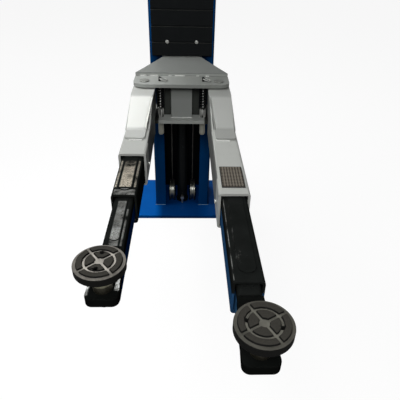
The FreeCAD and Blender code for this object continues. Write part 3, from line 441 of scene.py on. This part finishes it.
def chain_run(name, y, low, high):
    """A straight run of leaf chain at the pitch that fits its length."""
    pairs = round((high - low) / two_links)
    pitch = (high - low) / pairs / 2
    first, second = link_row(wide_row, pitch), link_row(close_row, pitch)
    second.location = (0, 0, pitch)
    bpy.ops.object.transform_apply()
    run = join_rows(name, [first, second])
    repeat(run, pairs, (0, 0, pitch * 2))
    run.location = (0, y, low)
    bpy.ops.object.transform_apply()
    return run


# The front run ends just below the links on the wheel.
front_chain = chain_run("front_chain", 0.025, 0.752, 1.465)
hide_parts("chain_front_run")
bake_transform(front_chain)
rear_chain = chain_run("rear_chain", 0.115, 0.167, 1.473)
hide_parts("chain_fixed_run")
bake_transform(rear_chain)
wheel_middle, chain_radius, bends = Vector((0, 0.07, 1.475)), 0.045, 8
turns = [math.pi * count / bends for count in range(bends + 1)]
corners = [wheel_middle + chain_radius * Vector((0, math.cos(turn), math.sin(turn)))
           for turn in turns]
arc = []
for count, (here, there) in enumerate(zip(corners, corners[1:])):
    along = there - here
    link = link_row(close_row if count % 2 else wide_row, along.length)
    link.rotation_euler = (math.atan2(-along.y, along.z), 0, 0)
    link.location = here
    bpy.ops.object.transform_apply()
    arc.append(link)
wheel_chain = join_rows("wheel_chain", arc)
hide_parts("lift_chain")
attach(wheel_chain, "ram")

# Foot of the post: two turned and zinc plated sheaves between black cheeks, and the
# wire ropes that keep both posts' carriages level. The ropes run up behind to the cap.

sheave_steel = plated("turned_sheave", "#9a9b95", "#6a6b64", 0.25, 0.003, "#33322d", 0.6)
rope_steel, tree, shader = new_material("wire_rope")
strands = node(tree, "ShaderNodeTexWave", {"Vector": object_point(tree), "Scale": 1 / 0.012},
               bands_direction="DIAGONAL").outputs[0]
fill(tree, shader, {"Base Color": mix(tree, strands, "#2c2b29", "#8b8a86"),
                    "Metallic": 1.0, "Roughness": 0.4})
bump(tree, shader, strands, 0.8, 0.001)
for name in ("base_sheave_left", "base_sheave_right"):
    paint_node(name, sheave_steel)
paint_node("sheave_brackets", black_enamel)
paint_node("levelling_cables", rope_steel)

# Carriage: welded steel plates that pass through the post's slot, sprayed mid grey. Four
# cast nylon blocks, screwed to its guide bars, slide in the corners of the post.

# The yoke's grey is painted paler toward the left, as painted light from the lamp's side.
yoke_enamel = enamel("yoke_enamel", "#8d908c", "#858883", 0.34, "#c9cac6", 0.7,
                     areas=[(((X, -0.60, 0.12),), 0.25, "#a0a39f")])
nylon, tree, shader = new_material("cast_nylon")
stain = noise(tree, object_point(tree), 0.03, 5.0)
fill(tree, shader, {"Base Color": mix(tree, stain, "#cfc6ab", "#8a816a"), "Roughness": 0.55})
paint_node("carriage_frame", yoke_enamel)
paint_node("slide_blocks", nylon)

# Yoke: top and bottom plate, the slope plate and the core between them, cut from 16 mm
# plate, welded, and sprayed mid grey. The slope plate is painted darker, as painted shade,
# since it leans away from the light.

# The bottom plate's ends, under the arm roots and round the lock blocks, are painted near
# black as painted shade.
painted_shade_ends = [(((X, low, high), (Y, -0.30, -0.10)), 0.003, "#1f211f")
               for low, high in ((-0.30, -0.108), (0.108, 0.30))]
low_yoke_enamel = enamel("low_yoke_enamel", "#a9aca8", "#9b9e99", 0.34, "#d5d6d2", 0.7,
                         areas=painted_shade_ends)
slope_enamel = enamel("slope_enamel", "#858885", "#7c7f7c", 0.5, "#a3a5a0", 0.3,
                      shine=0.1, areas=[(((Z, 0.80, 0.8585),), 0.0006, "#a7aaa6")])
# The core's face is painted darker toward its top, as painted shadow under the top plate,
# and the recesses behind the face are painted darkest, as painted shade.
core_enamel, tree, shader = new_material("core_enamel")
where = object_point(tree)
at = axes(tree, where)
sunk = ramp(tree, at[Y], -0.2215, -0.2195)
face = mix(tree, ramp(tree, at[Z], 0.76, 0.832), "#8d908d", "#646763")
painted_pocket_shade = mix(tree, noise(tree, where, 0.06, 5.0), "#3c3f3b", "#2c2f2c")
fill(tree, shader, {"Base Color": mix(tree, sunk, face, painted_pocket_shade), "Roughness": 0.42,
                    "Specular IOR Level": 0.15})
paint_node("yoke_top_plate", yoke_enamel, 0.0015)
paint_node("yoke_bottom_plate", low_yoke_enamel, 0.0015)
paint_node("yoke_slope_plate", slope_enamel, 0.0015)
paint_node("yoke_core", core_enamel, 0.003)
bead_enamel = enamel("bead_enamel", "#a9aca7", "#f1f2ee", 0.22, "#ffffff", 1.0, patch=0.005,
                     shine=0.5)
slope_seam = (-0.1275, 0.8485)
slope_spans = ((-0.196, -0.165), (-0.150, -0.112), (-0.060, -0.048),
               (-0.030, 0.016), (0.072, 0.084), (0.120, 0.132))
for count, (low, high) in enumerate(slope_spans):
    weld_bead(f"slope_weld_{count}", (low, *slope_seam), (high, *slope_seam),
              "carriage", bead_enamel, 0.008, 0.007)
weld_bead("box_weld", (-0.05, -0.2245, 0.676), (0.05, -0.2245, 0.676),
          "carriage", bead_enamel)

# Arm pins: turned steel, thick with grease. Each is driven through the top plate, the arm
# and the bottom plate, and hangs by its round head.

pin_steel = plated("greased_pin", "#b3b5b1", "#84867f", 0.35, 0.004, "#55564f", 0.6)
paint_node("arm_pins", pin_steel, 0.0012)

# Door guard: one black moulded rubber panel with shallow grooves, whose upward faces are
# painted paler: a little dust, and painted light where they catch light from above. It is
# held on the carriage by two zinc plated screws with domed heads.


def facing_up(tree):
    """How far the surface faces upward."""
    return axes(tree, node(tree, "ShaderNodeNewGeometry").outputs["Normal"])[Z]


def blunt_piece(name, side_count, radius, depth, place, turn, blunt, material, body,
                smooth=40):
    """A short round or six sided piece with blunt edges, such as a screw's head."""
    bpy.ops.object.select_all(action="DESELECT")
    bpy.ops.mesh.primitive_cylinder_add(vertices=side_count, radius=radius, depth=depth,
                                        location=place, rotation=turn)
    piece = bpy.context.object
    piece.name = name
    bpy.ops.object.transform_apply()
    edge = piece.modifiers.new("blunt", "BEVEL")
    edge.width, edge.segments = blunt
    edge.limit_method = "ANGLE"
    bpy.ops.object.modifier_apply(modifier="blunt")
    bpy.ops.object.shade_smooth_by_angle(angle=math.radians(smooth))
    piece.data.materials.append(material)
    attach(piece, body)


guard_rubber, tree, shader = new_material("guard_rubber")
black = mix(tree, noise(tree, object_point(tree), 0.05, 5.0), "#161819", "#1d1f20")
# Upward faces are painted paler, as dust and as painted light from above.
dust = ramp(tree, facing_up(tree), 0.3, 0.9, 0.0, 0.16)
fill(tree, shader, {"Base Color": mix(tree, dust, black, "#75756a"), "Roughness": 0.62,
                    "Specular IOR Level": 0.03})
paint_node("door_guard", guard_rubber, 0.0015)
for side, sign in sides:
    blunt_piece(f"guard_screw_{side}", 28, 0.0085, 0.005, (sign * 0.071, -0.0195, 0.9805),
                (quarter_turn, 0, 0), (0.0018, 4), zinc, "carriage")

# Arm locks: black channels behind the springs, and on each rod a toothed block, a rounded
# foot that pokes through the bottom plate, a coil spring and a wire ring to pull it up.

# The rods are painted in bright and dark upright streaks, as painted highlight and shade on
# the toothed block, are painted black inside the springs as painted shade, and have a dull
# foot.
lock_steel, tree, shader = new_material("lock_rod_steel")
where = object_point(tree)
height = axes(tree, where)[Z]
drawn = node(tree, "ShaderNodeMapping", {"Vector": where, "Scale": (1.0, 1.0, 0.08)})
streaks = noise(tree, drawn.outputs[0], 0.0055, 2.0)
painted_shine_streaks = mix(tree, ramp(tree, streaks, 0.44, 0.54), "#d2d3ce", "#1c1d1b")
rod_with_painted_shade = mix(tree, ramp(tree, height, 0.713, 0.716), painted_shine_streaks, "#10100f")
cream = mix(tree, noise(tree, where, 0.01, 5.0), "#a8a79a", "#86857a")
foot = maths(tree, "LESS_THAN", height, 0.6745)
fill(tree, shader, {"Base Color": mix(tree, foot, rod_with_painted_shade, cream), "Metallic": 0.25,
                    "Roughness": 0.3})
# The springs are black, with bright glints along the front of their coils.
spring_steel, tree, shader = new_material("spring_steel")
where = object_point(tree)
crest = ramp(tree, facing_up(tree), 0.1, 0.4)
off_middle = maths(tree, "ABSOLUTE", axes(tree, where)[X])
beside = maths(tree, "ABSOLUTE", maths(tree, "SUBTRACT", off_middle, lock_out))
front = ramp(tree, beside, 0.0045, 0.0025)
bare = ramp(tree, noise(tree, where, 0.006, 4.0), 0.35, 0.5)
painted_glints = maths(tree, "MULTIPLY", maths(tree, "MULTIPLY", crest, front), bare)
fill(tree, shader, {"Base Color": mix(tree, painted_glints, "#131413", "#f6f7f2"),
                    "Metallic": 0.2, "Roughness": 0.28})
ring_steel = plated("ring_steel", "#d2d3cf", "#9a9c97", 0.3, 0.003, "#5a5b57", 0.4,
                    metallic=0.35)


def coil(name, wire, radius, windings, pitch, material):
    """Round wire wound about the Z axis, from its own origin upward, closed at its ends."""
    bpy.ops.object.select_all(action="DESELECT")
    bpy.ops.mesh.primitive_circle_add(vertices=12, radius=wire, location=(radius, 0, 0),
                                      rotation=(quarter_turn, 0, 0))
    piece = bpy.context.object
    piece.name = name
    bpy.ops.object.transform_apply()
    wind = piece.modifiers.new("wind", "SCREW")
    wind.angle = quarter_turn
    wind.iterations = round(windings * 4)
    wind.screw_offset = pitch / 4
    wind.steps = 8
    wind.render_steps = 8
    bpy.ops.object.modifier_apply(modifier="wind")
    bpy.ops.object.mode_set(mode="EDIT")
    bpy.ops.mesh.select_all(action="SELECT")
    bpy.ops.mesh.remove_doubles(threshold=0.00002)
    bpy.ops.mesh.fill_holes(sides=0)
    bpy.ops.mesh.select_all(action="SELECT")
    bpy.ops.mesh.normals_make_consistent(inside=False)
    bpy.ops.object.mode_set(mode="OBJECT")
    bpy.ops.object.shade_smooth_by_angle(angle=math.radians(50))
    piece.data.materials.append(material)
    return piece


paint_node("lock_housings", black_enamel)
for side, sign in sides:
    paint_node(f"lock_rod_{side}", lock_steel)
    lock_at = Vector((sign * lock_out, lock_y, 0))
    spring = coil(f"spring_{side}", 0.002, 0.0085, 8.75, 0.01295, spring_steel)
    spring.location = lock_at + Vector((0, 0, 0.7161))
    bpy.ops.object.transform_apply()
    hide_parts(f"lock_spring_{side}")
    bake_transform(spring)
    ring = coil(f"split_ring_{side}", 0.0024, 0.017, 1.0, 0.0, ring_steel)
    ring.rotation_euler = (0, math.radians(15.35), 0)
    ring.location = lock_at + Vector((0.0159, 0, 0.8556))
    bpy.ops.object.transform_apply()
    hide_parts(f"pull_ring_{side}")
    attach(ring, f"lock_{side}")

# Swing arms: the root and the outer tube are welded steel in pale grey enamel, with a bent
# cover plate on top, and a black toothed ring below it round the pin.


def merged_copy(name, new_name):
    """A CAD node's mesh as a piece of its own, with its corners joined up."""
    piece = nodes[name].copy()
    piece.data = nodes[name].data.copy()
    piece.name = new_name
    for key in list(piece.keys()):
        del piece[key]
    bpy.context.scene.collection.objects.link(piece)
    piece.parent = None
    piece.data.transform(nodes[name].matrix_world)
    piece.matrix_world = Matrix.Identity(4)
    piece.modifiers.clear()
    piece.data.materials.clear()
    pick(piece)
    bpy.ops.object.mode_set(mode="EDIT")
    bpy.ops.mesh.select_all(action="SELECT")
    bpy.ops.mesh.remove_doubles(threshold=0.00001)
    bpy.ops.mesh.dissolve_limited(angle_limit=math.radians(0.5))
    bpy.ops.object.mode_set(mode="OBJECT")
    return piece


def apply_all(piece):
    """Makes a piece's modifiers part of its mesh."""
    pick(piece)
    for modifier in list(piece.modifiers):
        bpy.ops.object.modifier_apply(modifier=modifier.name)


def round_folds(plate, width):
    """Rounds the blunt folds that run across a bent plate, which is the active piece. A
    fold's two faces lie between the least and the most bend apart."""
    least_bend, most_bend, least_length = math.radians(5), math.radians(34), 0.05
    normals = {}
    for face in plate.data.polygons:
        for pair in face.edge_keys:
            normals.setdefault(pair, []).append(face.normal.copy())
    for edge in plate.data.edges:
        beside = normals[edge.key]
        bend = beside[0].angle(beside[1]) if len(beside) == 2 else 0
        ends = [plate.data.vertices[i].co for i in edge.vertices]
        across = abs(ends[0].x - ends[1].x) >= least_length
        edge.select = across and least_bend < bend < most_bend
    for part in (*plate.data.vertices, *plate.data.polygons):
        part.select = False
    bpy.ops.object.mode_set(mode="EDIT")
    bpy.ops.mesh.select_mode(type="EDGE")
    bpy.ops.mesh.bevel(offset=width, segments=5)
    bpy.ops.mesh.select_mode(type="VERT")
    bpy.ops.object.mode_set(mode="OBJECT")


gear_steel = plated("black_gear_steel", "#3c3d3c", "#232424", 0.4, 0.004, "#0f0f0f", 0.6)
arm_grey, arm_shade, arm_chip = "#bcbeba", "#b2b4af", "#7d7f7a"
# The covers' leaning faces are painted paler, as painted light, the left one near white; the
# right cover's flat grey is painted darker than the left's, as painted shade.
cover_leaning_painted_light = {"left": "#e2e4df", "right": "#b4b6b2"}
cover_flat_painted_lit_and_shaded = {"left": "#bcbeba", "right": "#a1a39f"}
# The arms' inner sides are painted dark grey, the left one darker, as painted shade.
inner_side_painted_shade = {"left": "#4b4d4c", "right": "#686a68"}
tube_end = {"left": -0.782, "right": -1.048}
tube_half = 0.0462
cover_top_y, cover_run, cover_shift = -0.342, 0.233, 0.007
cover_seam = (-0.667, 0.7605)
for side, sign in sides:
    middle, end = sign * arm_out, tube_end[side]
    # Inside, the outer tube is painted near black, as painted shade in its mouth.
    painted_shade_inside = [(((X, middle - tube_half, middle + tube_half),
                     (Y, end + 0.0004, -0.3), (Z, 0.6338, 0.7562)), 0.0003, "#0b0c0c")]
    inner_side = sorted((sign * 0.1175, sign * 0.1255))
    inner_face = [(((X, *inner_side), (Y, end + 0.10, 0.3)), 0.0008, inner_side_painted_shade[side])]
    for part, areas in (("tube", painted_shade_inside + inner_face), ("root", inner_face)):
        paint_node(f"arm_{part}_{side}",
                   enamel(f"{part}_enamel_{side}", arm_grey, arm_shade, 0.3, arm_chip, 0.35,
                          shine=0.08, areas=areas))
    paint_node(f"arm_gear_{side}", gear_steel)
    leaning_painted_light = [(((Y, -0.575, -0.345),), 0.016, cover_leaning_painted_light[side])]
    cover_enamel = enamel(f"cover_enamel_{side}", cover_flat_painted_lit_and_shaded[side], cover_flat_painted_lit_and_shaded[side], 0.3,
                          arm_chip, 0.35, shine=0.3, areas=leaning_painted_light)
    cover = merged_copy(f"arm_cover_{side}", f"cover_plate_{side}")
    for corner in cover.data.vertices:
        down = min(1, max(0, (cover_top_y - corner.co.y) / cover_run))
        corner.co.x -= sign * cover_shift * down
    round_folds(cover, 0.014)
    round_edges(cover, 0.0018)
    apply_all(cover)
    cover.data.materials.append(cover_enamel)
    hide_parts(f"arm_cover_{side}")
    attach(cover, f"arm_{side}")
    low, high = sorted((sign * 0.142, sign * 0.194))
    weld_bead(f"cover_weld_{side}", (low, *cover_seam), (high, *cover_seam),
              f"arm_{side}", bead_enamel, 0.011, 0.008)

# Stop bolts: a zinc plated hexagon bolt on each arm's inner side. Its end reaches into
# the tube and keeps the middle tube from running out.

for side, face_x, along in (("left", -0.1195, -0.704), ("right", 0.1195, -0.970)):
    blunt_piece(f"stop_bolt_{side}", 6, 0.0085, 0.006, (face_x, along, 0.682),
                (0, quarter_turn, 0), (0.0012, 3), zinc, f"arm_{side}", smooth=35)

# Grip patch: a 4 mm sheet of brown grey rubber with small raised diamonds and a plain
# border, glued on the longer arm as a step. The diamonds are drawn larger than they are,
# as the real ones are too fine to show.

patch_rubber, tree, shader = new_material("patch_rubber")
where = object_point(tree)
turned = node(tree, "ShaderNodeMapping", {"Vector": where, "Location": (0, 0, 0.5),
                                          "Rotation": (0, 0, math.radians(45)),
                                          "Scale": (1.0, 1.0, 0.0)})
knobs = node(tree, "ShaderNodeTexChecker", {"Vector": turned.outputs[0],
                                            "Scale": 1 / 0.0066}).outputs["Fac"]
field = smooth_box(tree, axes(tree, where), ((X, 0.1370, 0.2070), (Y, -1.0090, -0.8820)),
                   0.001)
diamonds = mix(tree, knobs, "#393530", "#7d766b")
fill(tree, shader, {"Base Color": mix(tree, field, "#2a2724", diamonds),
                    "Roughness": 0.75, "Specular IOR Level": 0.15})
bump(tree, shader, knobs, 1.0, 0.001, invert=True)
paint_node("grip_patch", patch_rubber, 0.001)

# Telescopic tubes: black enamel over blue, rubbed to bare steel on top where one slides in
# the other. The left arm's are worn most, the right arm's only chipped, but for a painted
# highlight drawn as bare steel along the right middle tube's left top edge.


def slide_enamel(name, blue_top, worn_spans, chips, blue="#0a3568",
                 dark=("#141615", "#222423"), nicked="#767976"):
    """Black enamel with blue lower sides. Each worn span is bare steel on the top, given as
    its two widths, its two lengths, its colour and how much of the enamel is gone."""
    material, tree, shader = new_material(name)
    where = object_point(tree)
    at = axes(tree, where)
    top = ramp(tree, facing_up(tree), 0.55, 0.9)
    low = ramp(tree, at[Z], blue_top + 0.004, blue_top)
    black = mix(tree, noise(tree, where, 0.05, 5.0), *dark)
    tint = mix(tree, low, black, blue)
    scuff = noise(tree, where, 0.004, 8.0, 0.75)
    rough_edge = maths(tree, "ADD", scuff, noise(tree, where, 0.05, 2.0))
    grain = ramp(tree, scuff, 0.40, 0.60)
    metal = 0.0
    for x_span, y_span, colour, gone in worn_spans:
        edge = min(0.003, (x_span[1] - x_span[0]) / 4)
        inside = smooth_box(tree, at, ((X, *x_span), (Y, *y_span)), edge)
        bare = ramp(tree, rough_edge, 1.30 - gone, 1.48 - gone)
        worn = maths(tree, "MULTIPLY", maths(tree, "MULTIPLY", inside, top), bare)
        tint = mix(tree, worn, tint, mix(tree, grain, colour, "#4d4943"))
        metal = maths(tree, "MAXIMUM", metal, worn)
    knock = noise(tree, where, 0.009, 6.0, 0.7)
    spots = ramp(tree, knock, 0.72 - chips, 0.75 - chips, 0.0, 0.55)
    fill(tree, shader, {"Base Color": mix(tree, spots, tint, nicked),
                        "Metallic": maths(tree, "MULTIPLY", metal, 0.5),
                        "Roughness": 0.42, "Specular IOR Level": 0.0})
    bump(tree, shader, scuff, 0.3, 0.0008)
    return material


cold_steel, pale_steel, warm_steel = "#a5aaa9", "#d8dcda", "#b3ad9f"
mid_left_worn = [
    ((-0.192, -0.152), (-0.858, -0.812), "#a39d90", 0.49),
    ((-0.192, -0.152), (-0.904, -0.852), "#b8b0a1", 0.52),
    ((-0.192, -0.152), (-0.990, -0.898), "#cfc6b4", 0.55),
    ((-0.207, -0.199), (-0.985, -0.806), warm_steel, 0.46),
    ((-0.146, -0.138), (-0.985, -0.806), warm_steel, 0.46),
    ((-0.207, -0.137), (-1.031, -0.998), "#a2a5a3", 0.50),
]
inner_left_worn = [
    ((-0.1855, -0.1585), (-1.325, -1.050), "#8f9392", 0.46),
    ((-0.1545, -0.1480), (-1.300, -1.090), "#8a8e8d", 0.44),
    ((-0.198, -0.146), (-1.375, -1.334), pale_steel, 0.50),
]
mid_right_wear_and_highlight = [
    # The first span is a painted highlight: a thin bright line along the tube's left top
    # edge.
    ((0.1350, 0.1374), (-1.405, -1.050), cold_steel, 0.40),
    ((0.1480, 0.1500), (-1.330, -1.090), cold_steel, 0.30),
    ((0.1500, 0.1640), (-1.345, -1.290), pale_steel, 0.16),
]
# The right arm's tubes take a paler blue, as painted light on their sides that face the
# lamp.
tubes = {
    "mid_tube_left": (0.0, mid_left_worn, 0.0),
    "mid_tube_right": (0.705, mid_right_wear_and_highlight, 0.03, "#2f567f"),
    "inner_tube_left": (0.700, inner_left_worn, 0.0, "#0b3c78"),
    "inner_tube_right": (0.705, [], 0.03, "#3a648c"),
}
for name, facts in tubes.items():
    paint_node(name, slide_enamel(f"{name}_enamel", *facts), 0.001)

# Pad holders: a flat forged bar with rounded corners, welded in the end of each inner
# tube. It is black, and rubbed pale beside the screw, which runs in its thread.

holder_left_worn = [
    ((-0.230, -0.203), (-1.440, -1.395), pale_steel, 0.46),
    ((-0.146, -0.110), (-1.425, -1.380), pale_steel, 0.50),
]
# Each bar narrows toward its rear, where it enters the tube.
rear_length, rear_width = 0.06, 0.78
for side, sign, back, worn in (("left", -1, -1.264, holder_left_worn),
                               ("right", 1, -1.441, [])):
    holder = merged_copy(f"pad_holder_{side}", f"holder_bar_{side}")
    middle = sign * arm_out
    for corner in holder.data.vertices:
        if corner.co.y > back - rear_length:
            corner.co.x = middle + (corner.co.x - middle) * rear_width
    round_edges(holder, 0.003, 3)
    apply_all(holder)
    holder.data.materials.append(slide_enamel(f"holder_enamel_{side}", 0.5, worn, 0.02,
                                              dark=("#0c0d0c", "#161817")))
    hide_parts(f"pad_holder_{side}")
    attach(holder, f"inner_{side}")

# Pad screws: turned steel with a trapezoidal thread, dark with oil. A dull collar under
# the pad stops each screw at its lowest place.

screw_steel = plated("oiled_screw", "#6f6c5e", "#4a483f", 0.35, 0.004, "#23221d", 0.6)
collar_steel = plated("dull_collar", "#a9a793", "#7d7b66", 0.35, 0.004, "#3d3c32", 0.6)
for side, sign in sides:
    paint_node(f"pad_screw_{side}", screw_steel)
    blunt_piece(f"collar_{side}", 64, 0.0275, 0.012, (sign * arm_out, pad_y[side], 0.758),
                (0, 0, 0), (0.003, 4), collar_steel, f"screw_{side}")

# Rubber pads: moulded black rubber, grey with dust in the channels between the raised
# segments, and held on the screw's flange by two screws deep in their holes.


def pad_rubber(name, dusty, dust_colour, middle):
    """Moulded rubber with a sandy top; dust fills the channels between the segments, most
    of all in the middle, and leaves the outer ledge dark."""
    material, tree, shader = new_material(name)
    where = object_point(tree)
    at = axes(tree, where)
    up = ramp(tree, facing_up(tree), 0.5, 0.95)
    low = ramp(tree, at[Z], 0.8125, 0.8105)
    sand = noise(tree, where, 0.0035, 6.0, 0.7)
    rubber = mix(tree, up, "#1b1b1a", mix(tree, sand, "#2a2926", "#45433e"))
    thick = ramp(tree, noise(tree, where, 0.03, 3.0), 0.3, 0.6, dusty * 0.5, dusty)
    off_x, off_y = (maths(tree, "SUBTRACT", at[axis], middle[axis]) for axis in (X, Y))
    spread = node(tree, "ShaderNodeCombineXYZ", {0: off_x, 1: off_y})
    radius = node(tree, "ShaderNodeVectorMath", {0: spread.outputs[0]}, operation="LENGTH")
    inward = ramp(tree, radius.outputs["Value"], 0.051, 0.036, 0.38, 1.0)
    filled = maths(tree, "MULTIPLY", maths(tree, "MULTIPLY", up, low), inward)
    dust = maths(tree, "MULTIPLY", filled, thick)
    fill(tree, shader, {"Base Color": mix(tree, dust, rubber, dust_colour),
                        "Roughness": 0.7, "Specular IOR Level": 0.04})
    bump(tree, shader, sand, 0.35, 0.0008)
    return material


pad_dust = {"left": (0.95, "#c6c1b8"), "right": (0.65, "#85847a")}
for side, sign in sides:
    paint_node(f"rubber_pad_{side}", pad_rubber(f"pad_rubber_{side}", *pad_dust[side],
                                                (sign * arm_out, pad_y[side])))
    round_edges(nodes[f"rubber_pad_{side}"], 0.0019, 3, held_back=False)
